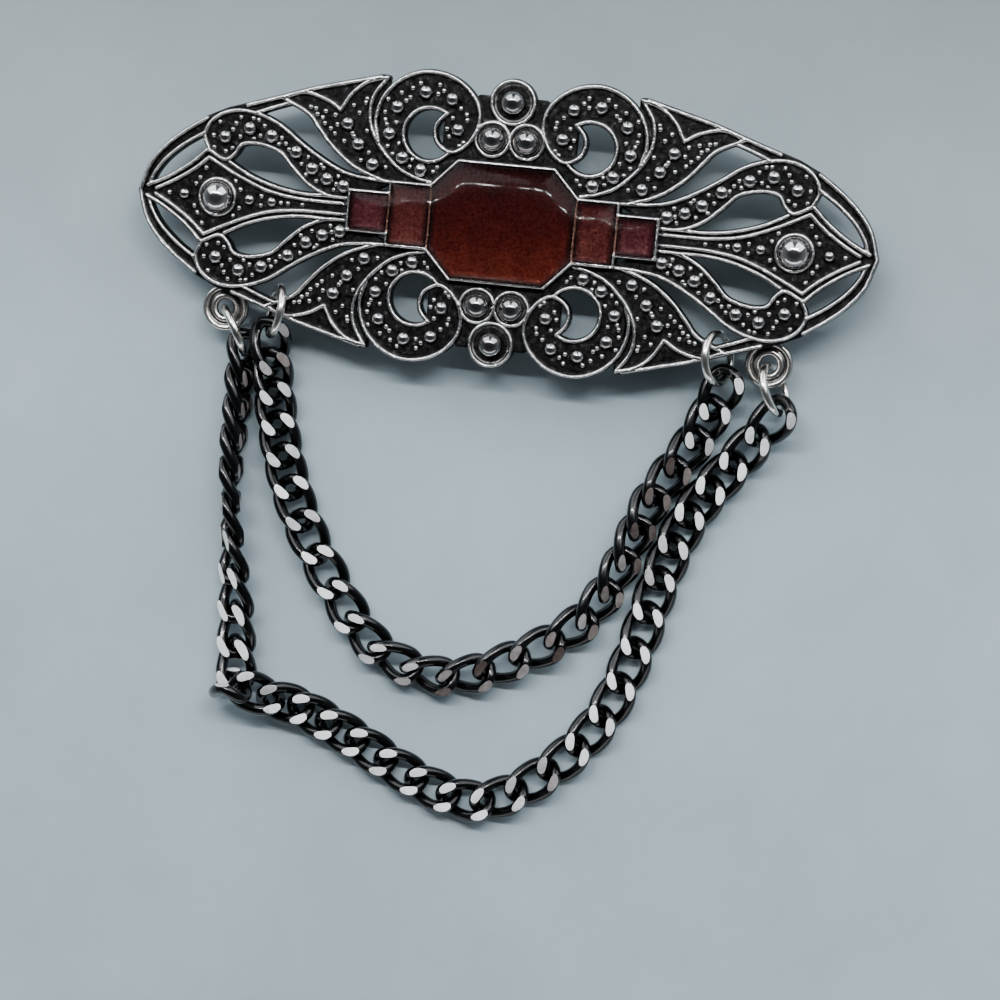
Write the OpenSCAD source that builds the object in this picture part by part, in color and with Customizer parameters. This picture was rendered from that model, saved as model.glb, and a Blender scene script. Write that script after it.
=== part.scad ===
// Dangling chain brooch in millimetres, +Z up. It lies on the plane Z = 0 with its plate along X.
// The plate is one antique silver casting with a stepped field of red enamel under clear resin.
// Two black curb chains hang from jump rings on its lower edge, and a bar pin is fixed behind it.

/* [Plate] */
// Height of the back of the plate above the surface that the brooch lies on
back_z = 3.4; // [3.3:0.05:3.45]
// Thickness of the cast sheet
sheet_t = 1.2; // [1:0.1:1.2]
// Width of the raised ridges
ridge_w = 0.42; // [0.36:0.02:0.46]
// Height of the raised ridges above the sheet
ridge_h = 0.4; // [0.3:0.05:0.45]
// Width of the sheet that shows outside a ridge
edge_w = 0.07; // [0.05:0.01:0.12]
// Diameter of the round beads in the scrolls
bead_d = 1.3; // [1.1:0.05:1.35]
// Diameter of the six domes above and below the enamel
dome_d = 2.6; // [2.2:0.1:2.8]
// Diameter of the dome in each pointed end
end_dome_d = 2.9; // [2.5:0.1:3.1]

/* [Enamel] */
// Width of the walls around and between the cells
wall_w = 0.36; // [0.3:0.02:0.44]
// Height of the outer wall above the sheet
wall_h = 0.9; // [0.8:0.05:1]
// Height of the walls between the cells above the sheet
cell_h = 0.6; // [0.5:0.05:0.65]
// Rise of the clear resin above the outer wall
resin_rise = 1.2; // [0.8:0.1:1.5]

/* [Chains] */
// Length of a link over its ends
link_l = 6.9; // [6.85:0.05:6.95]
// Width of a link over its sides
link_w = 4.75; // [4.65:0.05:4.8]
// Thickness of the link wire
link_wire = 1.18; // [1.1:0.02:1.22]
// Twist of a link in degrees for each millimetre of its length
link_twist = 17; // [16.5:0.5:18]
// Height from the middle of a link to its cut flats
flat_h = 1.1; // [1.06:0.01:1.13]

/* [Rings] */
// Middle diameter of a jump ring
ring_d = 5.3; // [5.2:0.05:5.4]
// Thickness of the jump ring wire
ring_wire = 0.9; // [0.8:0.02:0.92]
// Diameter of an eyelet
eyelet_d = 5.2; // [5:0.1:5.3]
// Diameter of the hole in an eyelet
eyelet_hole = 1.8; // [1.7:0.05:1.9]

/* [Bar pin] */
// Length of the bar behind the plate
bar_l = 32; // [28:1:33]
// Width of the bar
bar_w = 3.6; // [3:0.2:4]
// Thickness of the bar
bar_t = 0.7; // [0.6:0.05:0.8]
// Thickness of the pin wire
pin_d = 0.9; // [0.8:0.05:1]

/* [Hidden] */

// The origin is on the surface, under the middle of the whole brooch
plate_y = 24.985;
// Gap that separate pieces keep
gap = 0.05;
// Top of the sheet
top_z = back_z + sheet_t;

// Ridges of one quarter of the plate: x from the middle, y from the long axis
arm_top = [
    [12.5, 3.4], [15, 3.5], [17.5, 3.9], [20, 5], [22.5, 6.5], [25, 8.25], [27.2, 9.2], [29.5, 9.55],
    [31.5, 9.1], [32.9, 8], [33.45, 6.5], [32.8, 4.95]
];
arm_low = [
    [17.2, 1.2], [19.2, 1.3], [21.5, 2.3], [23.4, 3.95], [25, 5.5], [27.4, 6.15], [29.2, 5.9],
    [29.95, 4.8], [31, 4.1], [32.8, 4.95]
];
end_in = [[17.2, 0.6], [20, 0.58], [23, 0.7], [26, 1.2], [29.5, 2.55], [32.75, 4.2]];
end_out = [[19, 1.25], [22, 1.22], [25, 1.65], [28, 2.6], [30.4, 3.85]];
tip_in = [[32.75, 4.2], [34.3, 2.8], [36.3, 1.45], [38.4, 0.3]];
tip_out = [[33.1, 4.9], [34.8, 3.3], [37.2, 1.65], [39.4, 0.55]];
rim_long = [[14.5, 14.5], [18.3, 13.5], [22, 12.5], [25.5, 11.3], [29, 10.15]];
rim_long_in = [[24.3, 10.8], [26, 10.2], [28, 9.4]];
rim_start = [[29, 10.15], [31, 9.5]];
rim_close = [[31, 8], [29, 9]];
rim_end = [[33.3, 8.4], [35.5, 6.9], [37.5, 5.2], [39.2, 3], [40.2, 0]];
rim_end_in = [[33.4, 6.85], [35.6, 5.4], [37.5, 3.7], [38.7, 2], [39.2, 0.6]];
leaf_low = [[13.5, 3.5], [16.5, 4.6], [19, 6.4], [20.8, 8.35], [22.2, 9.9], [25.1, 11.3]];
leaf_top = [[25.1, 11.3], [22.8, 12.1], [20.4, 11.6], [18.65, 10.6]];
lobe_out = [[18.65, 10.6], [17.6, 12.4], [16, 13.8], [13.8, 14.5]];
lobe_in = [
    [13.8, 14.5], [15.2, 12.3], [15.35, 9.7], [14.2, 7.3], [12, 5.1], [10, 4.15], [8.2, 3.75]
];
scroll = [
    [14.2, 7.5], [14.75, 9.8], [14.1, 12.4], [12.2, 14.5], [9.5, 15.5], [6.6, 15.05], [4.3, 13.3],
    [3.45, 11], [4.2, 8.6], [6, 7.15], [7.7, 7.9], [8.2, 9.2], [7.9, 10.3], [7, 11.25]
];
// Round opening inside the scroll, which the end of the scroll's ridge closes
eye_x = 8.7;
eye_y = 8.85;
eye_r = 2.9;

// Beads of one quarter: x, y
beads = [
    [17.6, 2.45], [19.5, 3.05], [21.25, 4], [23.15, 5.6], [26, 7.1], [28.5, 7.7], [31.15, 6.55],
    [14.65, 5.1], [16.4, 7.1], [17.75, 9.2],
    [9.35, 4.95], [11.45, 6.1], [13.1, 8.55], [12.5, 11.45], [9.55, 13.3], [6.6, 12.8], [5.7, 9.6]
];
// Beads on the long axis: x and diameter
axis_beads = [[25.4, 1.15], [27.9, 1.25], [35.2, 1.25]];
// Domes of the upper half: x, y and radius of the collar
domes = [[0, 13, 2.3], [1.87, 8.95, 1.82], [-1.87, 8.95, 1.82]];
end_dome_x = 31.5;
end_collar_r = 1.95;

// Enamel field of one quarter: corners of its stepped outline
field = [[0, 6.35], [5.2, 6.35], [8, 3.4], [12.4, 3.4], [12.4, 2.15], [16.8, 2.15], [16.8, 0]];
cell_x = [7.9, 12.4];

// Jump rings: x, y, z of the middle, direction of the length, pitch down and tilt about the length
rings = [
    [-24.15, -11.8, 3.95, -102, 8, 66],
    [-28.8, -14.45, 3.05, -60, -5, 74],
    [24.55, -11.95, 4, -77, 10, -62],
    [30.9, -14.7, 3.2, -66, 2, 110]
];
// Eyelets: x, y of the middle
eyelets = [[-30, -12], [30, -12.1]];
eyelet_z = back_z - 1;

// Chain routes: x, y, z and the roll of the link in degrees, with a row for every second joint
inner_route = [
    [-24.7, -14.1, 3.4, 30], [-23.95, -20.8, 1.95, 14], [-22.4, -27.8, 1.65, 14],
    [-19.65, -34.7, 1.9, 22], [-15.2, -41.9, 1.6, -8], [-9.75, -48.2, 1.8, -24],
    [-1.6, -50.4, 1.75, -25], [6.2, -47.2, 1.8, -15], [13.1, -42.05, 2, -37],
    [16.6, -34.9, 2.35, -45], [19, -27.8, 2.35, -32], [23.15, -20.9, 1.85, -23],
    [25.75, -14.15, 3.45, -13]
];
outer_side = [
    [-27.75, -15.8, 2.4, 76], [-27.9, -22.75, 2.5, 87], [-28, -29.6, 2.5, 97],
    [-27.25, -37.45, 2.45, 124], [-26.05, -45.8, 2.15, 156], [-25.55, -53.65, 1.35, 180]
];
outer_route = [
    [-18, -55.8, 1.3, 0], [-11.4, -58.75, 1.2, 0], [-4.2, -62.4, 1.2, 0], [3.5, -64.1, 1.25, 0],
    [10.7, -59.6, 1.2, 0], [16.05, -52.85, 1.2, 0], [18.9, -44.7, 1.2, 0], [20.7, -36.7, 1.2, 0],
    [23.2, -29.5, 1.3, 0], [27.4, -23.4, 1.5, 0], [32.1, -16.7, 3.5, -27]
];

// Three links that turn the corner, the first standing on edge: each start and end, as above
outer_corner = [
    [-26.5, -54.1, 1.95, 64], [-25.25, -54.35, 4.35, 0],
    [-24.5, -54.15, 2.8, 22], [-21.35, -55.2, 1.7, 0],
    [-21.5, -55.25, 1.45, 2], [-18, -55.8, 1.3, 0]
];

// Stations along a link and sides of its wire
link_n = 12;
wire_n = 6;
link_a = (link_l - link_wire) / 2;
link_b = (link_w - link_wire) / 2;

// Smooth curve through the rows of a table, with n steps from each row to the next
function at(p, i) = i < 0 ? 2 * p[0] - p[1] : i < len(p) ? p[i] : 2 * p[len(p) - 1] - p[len(p) - 2];
function blend(p, i, t) = let (a = at(p, i - 1), b = at(p, i), c = at(p, i + 1), d = at(p, i + 2))
    b + 0.5 * t * (c - a + t * (2 * a - 5 * b + 4 * c - d + t * (3 * (b - c) + d - a)));
function curve(p, n) = concat(
    [for (i = [0:len(p) - 2]) for (j = [0:n - 1]) blend(p, i, j / n)], [p[len(p) - 1]]);
function back(p) = [for (i = [len(p) - 1:-1:0]) p[i]];
function unit(v) = v / norm(v);
function arc(x, y, r, a, b, n) = [for (i = [0:n])
    let (t = a + (b - a) * i / n) [x + r * cos(t), y + r * sin(t)]];

// Upper edge of the leaf and of the lobe
leaf_edge = concat(curve(leaf_top, 3), curve(lobe_out, 3));
// Last part of the scroll, which curls into its round opening
scroll_end = [for (p = curve(scroll, 3)) if (p[0] > 6.2 && p[0] < 8.4 && p[1] > 7 && p[1] < 11.4) p];

// Thin line along a table's curve, later widened to a ridge
function step(p, i) = unit(p[min(i + 1, len(p) - 1)] - p[max(i - 1, 0)]);
function beside(p, d) = [for (i = [0:len(p) - 1]) p[i] + d * [-step(p, i)[1], step(p, i)[0]]];
module line(p) {
    polygon(concat(beside(p, 0.02), back(beside(p, -0.02))));
}

// A quarter repeated in all four corners of the plate
module four() {
    for (sx = [0, 1]) mirror([sx, 0]) for (sy = [0, 1]) mirror([0, sy]) children();
}

module quarter_lines() {
    line(curve(arm_top, 3));
    line(curve(arm_low, 3));
    line(curve(end_in, 2));
    line(curve(end_out, 2));
    line(curve(tip_in, 2));
    line(curve(tip_out, 2));
    line(curve(rim_long, 2));
    line(curve(rim_long_in, 2));
    line(curve(rim_end, 3));
    line(curve(rim_end_in, 2));
    line(curve(leaf_low, 2));
    line(curve(leaf_top, 3));
    line(curve(lobe_out, 3));
    line(curve(lobe_in, 3));
    line(curve(scroll, 3));
    line(arc(eye_x, eye_y, eye_r, 125, -145, 27));
    for (d = domes) if (d[0] >= 0) line(arc(d[0], d[1], d[2], 0, 360, 30));
    line(arc(end_dome_x, 0, end_collar_r, 0, 360, 30));
}

module quarter_sheet() {
    polygon(concat(curve(arm_top, 3), back(curve(arm_low, 3))));
    polygon(concat([[16.8, 0]], curve(end_out, 2), [[32.75, 4.6]], curve(tip_out, 2), [[39.8, 0]]));
    polygon(concat(curve(rim_long, 2), back(curve(rim_long_in, 2)), leaf_edge));
    polygon(concat(rim_start, curve(rim_end, 3), [[39.3, 0]], back(curve(rim_end_in, 2)), rim_close));
    polygon(concat(curve(leaf_low, 2), leaf_edge, curve(lobe_in, 3)));
    difference() {
        polygon(concat(curve(scroll, 3), [[7, 8], [5.2, 6], [8.2, 3.4]], back(curve(lobe_in, 3))));
        polygon(concat(arc(eye_x, eye_y, eye_r, 125, -140, 27), back(scroll_end)));
    }
    polygon(concat([[0, 0]], field));
    polygon([[0, 6], [5.2, 6], [5.5, 7.4], [3.6, 10], [3.6, 13.3], [2, 13.3], [0, 14]]);
    for (d = domes) if (d[0] >= 0) translate([d[0], d[1]]) circle(d[2], $fn = 30);
}

module field_shape() {
    four() polygon(concat([[0, 0]], field));
}

module filigree_plate() {
    color([0.55, 0.54, 0.56]) translate([0, plate_y, 0]) {
        // Cast sheet with all its openings
        translate([0, 0, back_z]) linear_extrude(sheet_t)
            offset(delta = ridge_w / 2 + edge_w) four() quarter_sheet();
        // Ridges that edge the scrolls, leaves, pointed ends and rim
        translate([0, 0, top_z - 0.3]) linear_extrude(ridge_h + 0.3)
            offset(delta = ridge_w / 2 - 0.02) four() quarter_lines();
        // Wall around the enamel and the low walls between its cells
        translate([0, 0, top_z - 0.4]) linear_extrude(wall_h + 0.4) difference() {
            offset(delta = wall_w / 2) field_shape();
            offset(delta = -wall_w / 2) field_shape();
        }
        for (s = [-1, 1])
            for (i = [0, 1])
                translate([s * cell_x[i] - wall_w / 2, -field[3 + i][1], top_z - 0.4])
                    cube([wall_w, 2 * field[3 + i][1], cell_h + 0.4]);
        // Beads and domes
        for (sx = [-1, 1]) {
            for (sy = [-1, 1])
                for (b = beads) translate([sx * b[0], sy * b[1], top_z + 0.1]) sphere(d = bead_d, $fn = 24);
            for (b = axis_beads) translate([sx * b[0], 0, top_z + 0.1]) sphere(d = b[1], $fn = 24);
            translate([sx * end_dome_x, 0, top_z + 0.2]) sphere(d = end_dome_d, $fn = 32);
            for (d = domes) translate([d[0], sx * d[1], top_z + 0.2]) sphere(d = dome_d, $fn = 32);
        }
    }
}

// One enamel cell: side is -1 or 1, a and b are the walls beside it along X, and half is its half width
module enamel_cell(side, a, b, half) {
    e = wall_w / 2 + gap;
    color([0.36, 0.08, 0.09]) translate([0, plate_y, top_z + gap]) linear_extrude(cell_h - 2 * gap)
        translate([side * (a + b) / 2, 0]) square([b - a - 2 * e, 2 * (half - e)], center = true);
}

module enamel_centre() {
    color([0.33, 0.03, 0.02]) translate([0, plate_y, top_z + gap]) linear_extrude(cell_h - 2 * gap)
        intersection() {
            offset(delta = -wall_w / 2 - gap) field_shape();
            square([2 * (cell_x[0] - wall_w / 2 - gap), 20], center = true);
        }
}

module enamel_left_inner() enamel_cell(-1, cell_x[0], cell_x[1], field[3][1]);
module enamel_left_outer() enamel_cell(-1, cell_x[1], field[5][0], field[5][1]);
module enamel_right_inner() enamel_cell(1, cell_x[0], cell_x[1], field[3][1]);
module enamel_right_outer() enamel_cell(1, cell_x[1], field[5][0], field[5][1]);

// Clear resin that fills the field up to its wall and rises to a smooth crown
module resin_dome() {
    e = wall_w / 2 + gap;
    // Sections of one half: x, half width, share of the rise. A slanted edge moves in by 0.45 e.
    half = [
        [0, field[1][1] - e, 1], [field[1][0] / 2, field[1][1] - e, 0.98],
        [field[1][0] - 0.45 * e, field[1][1] - e, 0.92],
        [(field[1][0] + field[2][0]) / 2 - 0.45 * e, (field[1][1] + field[2][1]) / 2 - e, 0.84],
        [field[2][0] - 0.45 * e, field[2][1] - e, 0.74], [10, field[3][1] - e, 0.62],
        [field[3][0] - e - 0.04, field[3][1] - e, 0.48], [field[3][0] - e, field[4][1] - e, 0.42],
        [14.6, field[5][1] - e, 0.34], [field[5][0] - e - 0.4, field[5][1] - e, 0.2],
        [field[5][0] - e, field[5][1] - e, 0.05]
    ];
    rows = concat([for (i = [len(half) - 1:-1:1]) [-half[i][0], half[i][1], half[i][2]]], half);
    n = 12;
    base = top_z + cell_h + gap;
    crown = top_z + wall_h;
    points = [for (r = rows) for (k = [-1:n + 1])
        k < 0 ? [r[0], -r[1], base]
        : k > n ? [r[0], r[1], base]
        : [r[0], -r[1] * cos(180 * k / n), crown + resin_rise * r[2] * pow(sin(180 * k / n), 1.5)]];
    m = n + 3;
    last = len(rows) - 1;
    faces = concat(
        [for (i = [0:last - 1]) for (k = [0:m - 1]) for (h = [0, 1])
            let (a = i * m + k, b = i * m + (k + 1) % m, c = a + m, d = b + m)
                h == 0 ? [a, b, d] : [a, d, c]],
        [[for (k = [m - 1:-1:0]) k], [for (k = [0:m - 1]) last * m + k]]);
    color([0.8, 0.7, 0.7, 0.4]) translate([0, plate_y, 0]) polyhedron(points, faces);
}

// Ridged round eyelet whose upper edge is tucked behind the rim
module eyelet(p) {
    r = eyelet_d / 2;
    h = eyelet_hole / 2;
    color([0.5, 0.49, 0.48]) translate([p[0], p[1] + plate_y, eyelet_z]) rotate_extrude($fn = 48) polygon([
        [h, 0.15], [h + 0.15, 0], [r - 0.2, 0], [r, 0.2], [r, 0.7], [r - 0.2, 0.9], [r - 0.5, 0.9],
        [r - 0.65, 0.6], [h + 0.65, 0.6], [h + 0.5, 0.85], [h + 0.15, 0.85], [h, 0.7]
    ]);
}

module eyelet_left() eyelet(eyelets[0]);
module eyelet_right() eyelet(eyelets[1]);

// Plain round ring from its row in the table
module jump_ring(p) {
    color([0.75, 0.74, 0.72]) translate([p[0], p[1] + plate_y, p[2]])
        rotate([0, p[4], p[3]]) rotate([p[5], 0, 0])
            rotate_extrude($fn = 64) translate([ring_d / 2, 0]) circle(d = ring_wire, $fn = 24);
}

module jump_ring_inner_left() jump_ring(rings[0]);
module jump_ring_outer_left() jump_ring(rings[1]);
module jump_ring_inner_right() jump_ring(rings[2]);
module jump_ring_outer_right() jump_ring(rings[3]);

// Power of a sine or cosine that keeps its sign and squares up the oval
function full(v) = sign(v) * pow(abs(v), 0.7);
// Middle line of a link at angle a, twisted about its length
function link_line(a) = let (x = link_a * full(cos(a)), s = link_b * full(sin(a)))
    [x, s * cos(link_twist * x), -s * sin(link_twist * x)];
// One corner of the wire at angle a and side u, cut off at the flats
function wire_point(a, u) = let (
        p = link_line(a),
        d = unit(link_line(a + 0.5) - link_line(a - 0.5)),
        m = [0, sin(link_twist * p[0]), cos(link_twist * p[0])],
        n = unit(m - d * (m * d)),
        q = p + link_wire / 2 * (cos(u) * cross(d, n) + sin(u) * n)
    )
    [q[0], q[1], max(-flat_h, min(flat_h, q[2]))];
link_points = [for (i = [0:link_n - 1]) for (k = [0:wire_n - 1])
    wire_point(360 * i / link_n, 360 * (k + 0.5) / wire_n)];
link_faces = [for (i = [0:link_n - 1]) for (k = [0:wire_n - 1]) for (h = [0, 1])
    let (j = (i + 1) % link_n, l = (k + 1) % wire_n)
    h == 0
        ? [i * wire_n + k, j * wire_n + l, j * wire_n + k]
        : [i * wire_n + k, i * wire_n + l, j * wire_n + l]];

// Joints between links along a route: x, y, z and roll
function joints(t) = concat(
    [for (i = [0:len(t) - 2]) for (j = [0, 1]) blend(t, i, j / 2)], [t[len(t) - 1]]);
// Link from joint p to joint q, rolled about its length
module link(p, q) {
    x = unit([q[0] - p[0], q[1] - p[1], q[2] - p[2]]);
    s = unit(cross([0, 0, 1], x));
    r = p[3];
    y = cos(r) * s - sin(r) * cross(x, s);
    z = cross(x, y);
    c = (p + q) / 2 + [0, plate_y, 0, 0];
    multmatrix([
        [x[0], y[0], z[0], c[0]],
        [x[1], y[1], z[1], c[1]],
        [x[2], y[2], z[2], c[2]],
        [0, 0, 0, 1]
    ]) polyhedron(link_points, link_faces);
}

module chain(t) {
    j = joints(t);
    color([0.09, 0.09, 0.1]) for (i = [0:len(j) - 2]) link(j[i], j[i + 1]);
}

module inner_chain() chain(inner_route);

module outer_chain() {
    chain(outer_side);
    color([0.09, 0.09, 0.1]) for (k = [0, 2, 4]) link(outer_corner[k], outer_corner[k + 1]);
    chain(outer_route);
}

// Plain bar with its pin wire between two feet, all in one piece
module pin_back() {
    foot = 2.4;
    color([0.7, 0.7, 0.7]) translate([0, plate_y, 0]) {
        translate([-bar_l / 2, -bar_w / 2, back_z - gap - bar_t]) cube([bar_l, bar_w, bar_t]);
        for (s = [-1, 1])
            translate([s * (bar_l / 2 - 1.5) - foot / 2, -foot / 2, 0]) cube([foot, foot, back_z - bar_t]);
        translate([0, 0, 1.1]) rotate([0, 90, 0]) cylinder(h = bar_l - 3, d = pin_d, center = true, $fn = 32);
    }
}

filigree_plate();
enamel_centre();
enamel_left_inner();
enamel_left_outer();
enamel_right_inner();
enamel_right_outer();
resin_dome();
eyelet_left();
eyelet_right();
jump_ring_inner_left();
jump_ring_outer_left();
jump_ring_inner_right();
jump_ring_outer_right();
inner_chain();
outer_chain();
pin_back();
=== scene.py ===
import math

import bmesh
import bpy
import numpy as np
from mathutils import Matrix, Vector, geometry


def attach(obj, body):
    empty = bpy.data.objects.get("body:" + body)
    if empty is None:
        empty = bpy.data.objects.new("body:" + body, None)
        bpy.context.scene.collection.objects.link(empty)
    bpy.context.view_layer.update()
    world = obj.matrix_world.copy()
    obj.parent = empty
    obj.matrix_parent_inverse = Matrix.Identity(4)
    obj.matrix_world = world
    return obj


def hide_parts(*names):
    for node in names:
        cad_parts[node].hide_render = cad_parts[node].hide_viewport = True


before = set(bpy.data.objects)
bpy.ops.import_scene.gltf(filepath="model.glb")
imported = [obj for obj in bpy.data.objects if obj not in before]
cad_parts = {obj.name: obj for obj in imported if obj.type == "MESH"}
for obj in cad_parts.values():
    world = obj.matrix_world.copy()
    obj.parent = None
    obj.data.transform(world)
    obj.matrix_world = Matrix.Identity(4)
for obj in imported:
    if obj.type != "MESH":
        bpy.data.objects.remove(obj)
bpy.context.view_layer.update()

# Camera
# The brooch is seen from above. The camera stands over the plate, to the right of its middle, and
# is turned a little towards the chains. Its place, turn and lens were worked out from the flat
# plate and the lie of the chains.
camera_data = bpy.data.cameras.new("camera")
camera_data.sensor_width = 36
camera_data.lens = 94.25
camera_data.clip_start = 0.01
camera_data.clip_end = 10
camera = bpy.data.objects.new("camera", camera_data)
bpy.context.scene.collection.objects.link(camera)
camera_place = Vector((0.0405, 0.02755, 0.285))
camera_turn = Vector((-0.1068, 0.1393, 0.1039))
camera.matrix_world = Matrix.Translation(camera_place) @ Matrix.Rotation(
    camera_turn.length, 4, camera_turn.normalized()
)
bpy.context.scene.camera = camera


# Table and light
# A plain pale table top with a soft mottle, and painted shade that darkens it beyond the plate.
# Two wide soft boxes stand beyond the plate and light the ridges, a row of small lamps over them
# gives the glint on the resin, and a low strip in front fills the shadows.
def new_material(name):
    """A material with its node tree and its main shader."""
    material = bpy.data.materials.new(name)
    material.use_nodes = True
    return material, material.node_tree, material.node_tree.nodes["Principled BSDF"]


def set_inputs(tree, node, values):
    """Each named input of a node linked to another node's output, or set to a plain value."""
    for name, value in values.items():
        if isinstance(value, bpy.types.NodeSocket):
            tree.links.new(value, node.inputs[name])
        else:
            node.inputs[name].default_value = value


def place_of(tree, kind="Object"):
    return tree.nodes.new("ShaderNodeTexCoord").outputs[kind]


def place_along(tree, axis, kind="Object"):
    """The place of each point along one axis."""
    split = tree.nodes.new("ShaderNodeSeparateXYZ")
    tree.links.new(place_of(tree, kind), split.inputs[0])
    return split.outputs[axis]


def add_noise(tree, scale, detail=3, rough=0.5, place=None):
    """An uneven tone over the piece, or over another place if one is given."""
    if place is None:
        place = place_of(tree)
    noise = tree.nodes.new("ShaderNodeTexNoise")
    set_inputs(tree, noise, {"Vector": place, "Scale": scale, "Detail": detail, "Roughness": rough})
    return noise.outputs["Fac"]


def add_ramp(tree, source, stops):
    """The colour for each tone of a source, from stops with a tone and a colour each."""
    ramp = tree.nodes.new("ShaderNodeValToRGB")
    while len(ramp.color_ramp.elements) < len(stops):
        ramp.color_ramp.elements.new(0.5)
    for element, (at, color) in zip(ramp.color_ramp.elements, stops):
        element.position = at
        element.color = (*color, 1)
    tree.links.new(source, ramp.inputs["Fac"])
    return ramp.outputs["Color"]


def mix_colors(tree, blend, factor, a, b):
    mix = tree.nodes.new("ShaderNodeMix")
    mix.data_type = "RGBA"
    mix.blend_type = blend
    set_inputs(tree, mix, {"Factor": factor, "A": a, "B": b})
    return mix.outputs["Result"]


def new_piece(name, vertices, faces, materials, material_of_face=None):
    mesh = bpy.data.meshes.new(name)
    mesh.from_pydata(np.asarray(vertices).tolist(), [], faces)
    for material in materials:
        mesh.materials.append(material)
    if material_of_face is not None:
        mesh.polygons.foreach_set("material_index", material_of_face)
    piece = bpy.data.objects.new(name, mesh)
    bpy.context.scene.collection.objects.link(piece)
    return piece


pale_table, tree, shader = new_material("pale_table")
mottle_colors = [(0.3, (0.3, 0.39, 0.45)), (0.7, (0.38, 0.485, 0.55))]
mottle = add_ramp(tree, add_noise(tree, 22, 9, 0.7), mottle_colors)
# Tones of painted shade from the middle of the brooch to beyond the plate, in metres along y
painted_falloff_tones = [(0, (0.93, 0.92, 0.91)), (0.055, (0.56, 0.52, 0.49))]
painted_falloff = add_ramp(tree, place_along(tree, "Y"), painted_falloff_tones)
set_inputs(tree, shader, {
    "Base Color": mix_colors(tree, "MULTIPLY", 1, mottle, painted_falloff),
    "Roughness": 0.9,
})
table_half = 1.5
table_corners = [(x * table_half, y * table_half, 0) for x, y in ((-1, -1), (1, -1), (1, 1), (-1, 1))]
floor = new_piece("table", table_corners, [(0, 1, 2, 3)], [pale_table])
floor.location.z = -0.00002


def soft_box(name, place, aim, size, power, color):
    light = bpy.data.lights.new(name, "AREA")
    light.shape = "RECTANGLE"
    light.size, light.size_y = size
    light.energy = power
    light.color = color
    box = bpy.data.objects.new(name, light)
    bpy.context.scene.collection.objects.link(box)
    box.location = place
    box.rotation_euler = (Vector(aim) - Vector(place)).to_track_quat("-Z", "Y").to_euler()


cool_white = (0.95, 0.98, 1)
warm_white = (1, 0.99, 0.97)
for name, x in (("far_left_box", -0.33), ("far_right_box", 0.33)):
    soft_box(name, (x, 0.45, 0.3), (0, 0.03, 0.02), (0.52, 0.6), 3.7, cool_white)
soft_box("near_box", (0, -0.5, 0.13), (0, 0, 0), (1.2, 0.1), 1.1, warm_white)
lamp_step = 0.05
lamp_shift = 0.017
lamp_x = np.arange(-6, 7) * lamp_step + np.random.default_rng(3).uniform(-lamp_shift, lamp_shift, 13)
for n, x in enumerate(lamp_x.tolist()):
    soft_box("lamp_" + str(n), (x, 0.35, 0.56), (0, 0.03, 0), (0.024, 0.024), 0.42, warm_white)
room = bpy.data.worlds.new("room")
room.use_nodes = True
# Tones of the room, from low over the table to high overhead
room_tones = [(0.3, (0.18, 0.195, 0.21)), (0.8, (0.05, 0.055, 0.06))]
set_inputs(room.node_tree, room.node_tree.nodes["Background"], {
    "Color": add_ramp(room.node_tree, place_along(room.node_tree, "Z", "Generated"), room_tones),
    "Strength": 1,
})
bpy.context.scene.world = room

# Filigree plate
# One antique silver casting: a pierced sheet with raised ridges, cast flat and left blackened in
# its hollows. It is made here as a relief over the same tables as the solid, in millimetres.
MM = 0.001
plate_y = 24.985
back_z = 3.4
sheet_t = 1.2
top_z = back_z + sheet_t
ridge_w = 0.42
ridge_h = 0.4
edge_w = 0.07
edge_r = 0.1
edge_drop = 0.02
wall_w = 0.36
wall_h = 0.9
cell_h = 0.6
# Lines of the upper right quarter: x from the middle to the tip, y from the long axis to the rim
arm_top = [
    [12.5, 3.4], [15, 3.5], [17.5, 3.9], [20, 5], [22.5, 6.5], [25, 8.25], [27.2, 9.2], [29.5, 9.55],
    [31.5, 9.1], [32.9, 8], [33.45, 6.5], [32.8, 4.95],
]
arm_low = [
    [17.2, 1.2], [19.2, 1.3], [21.5, 2.3], [23.4, 3.95], [25, 5.5], [27.4, 6.15], [29.2, 5.9],
    [29.95, 4.8], [31, 4.1], [32.8, 4.95],
]
end_in = [[17.2, 0.6], [20, 0.58], [23, 0.7], [26, 1.2], [29.5, 2.55], [32.75, 4.2]]
end_out = [[19, 1.25], [22, 1.22], [25, 1.65], [28, 2.6], [30.4, 3.85]]
tip_in = [[32.75, 4.2], [34.3, 2.8], [36.3, 1.45], [38.4, 0.3]]
tip_out = [[33.1, 4.9], [34.8, 3.3], [37.2, 1.65], [39.4, 0.55]]
rim_long = [[14.5, 14.5], [18.3, 13.5], [22, 12.5], [25.5, 11.3], [29, 10.15]]
rim_long_in = [[24.3, 10.8], [26, 10.2], [28, 9.4]]
rim_start = [[29, 10.15], [31, 9.5]]
rim_close = [[31, 8], [29, 9]]
rim_end = [[33.3, 8.4], [35.5, 6.9], [37.5, 5.2], [39.2, 3], [40.2, 0]]
rim_end_in = [[33.4, 6.85], [35.6, 5.4], [37.5, 3.7], [38.7, 2], [39.2, 0.6]]
leaf_low = [[13.5, 3.5], [16.5, 4.6], [19, 6.4], [20.8, 8.35], [22.2, 9.9], [25.1, 11.3]]
leaf_top = [[25.1, 11.3], [22.8, 12.1], [20.4, 11.6], [18.65, 10.6]]
lobe_out = [[18.65, 10.6], [17.6, 12.4], [16, 13.8], [13.8, 14.5]]
lobe_in = [
    [13.8, 14.5], [15.2, 12.3], [15.35, 9.7], [14.2, 7.3], [12, 5.1], [10, 4.15], [8.2, 3.75],
]
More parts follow.
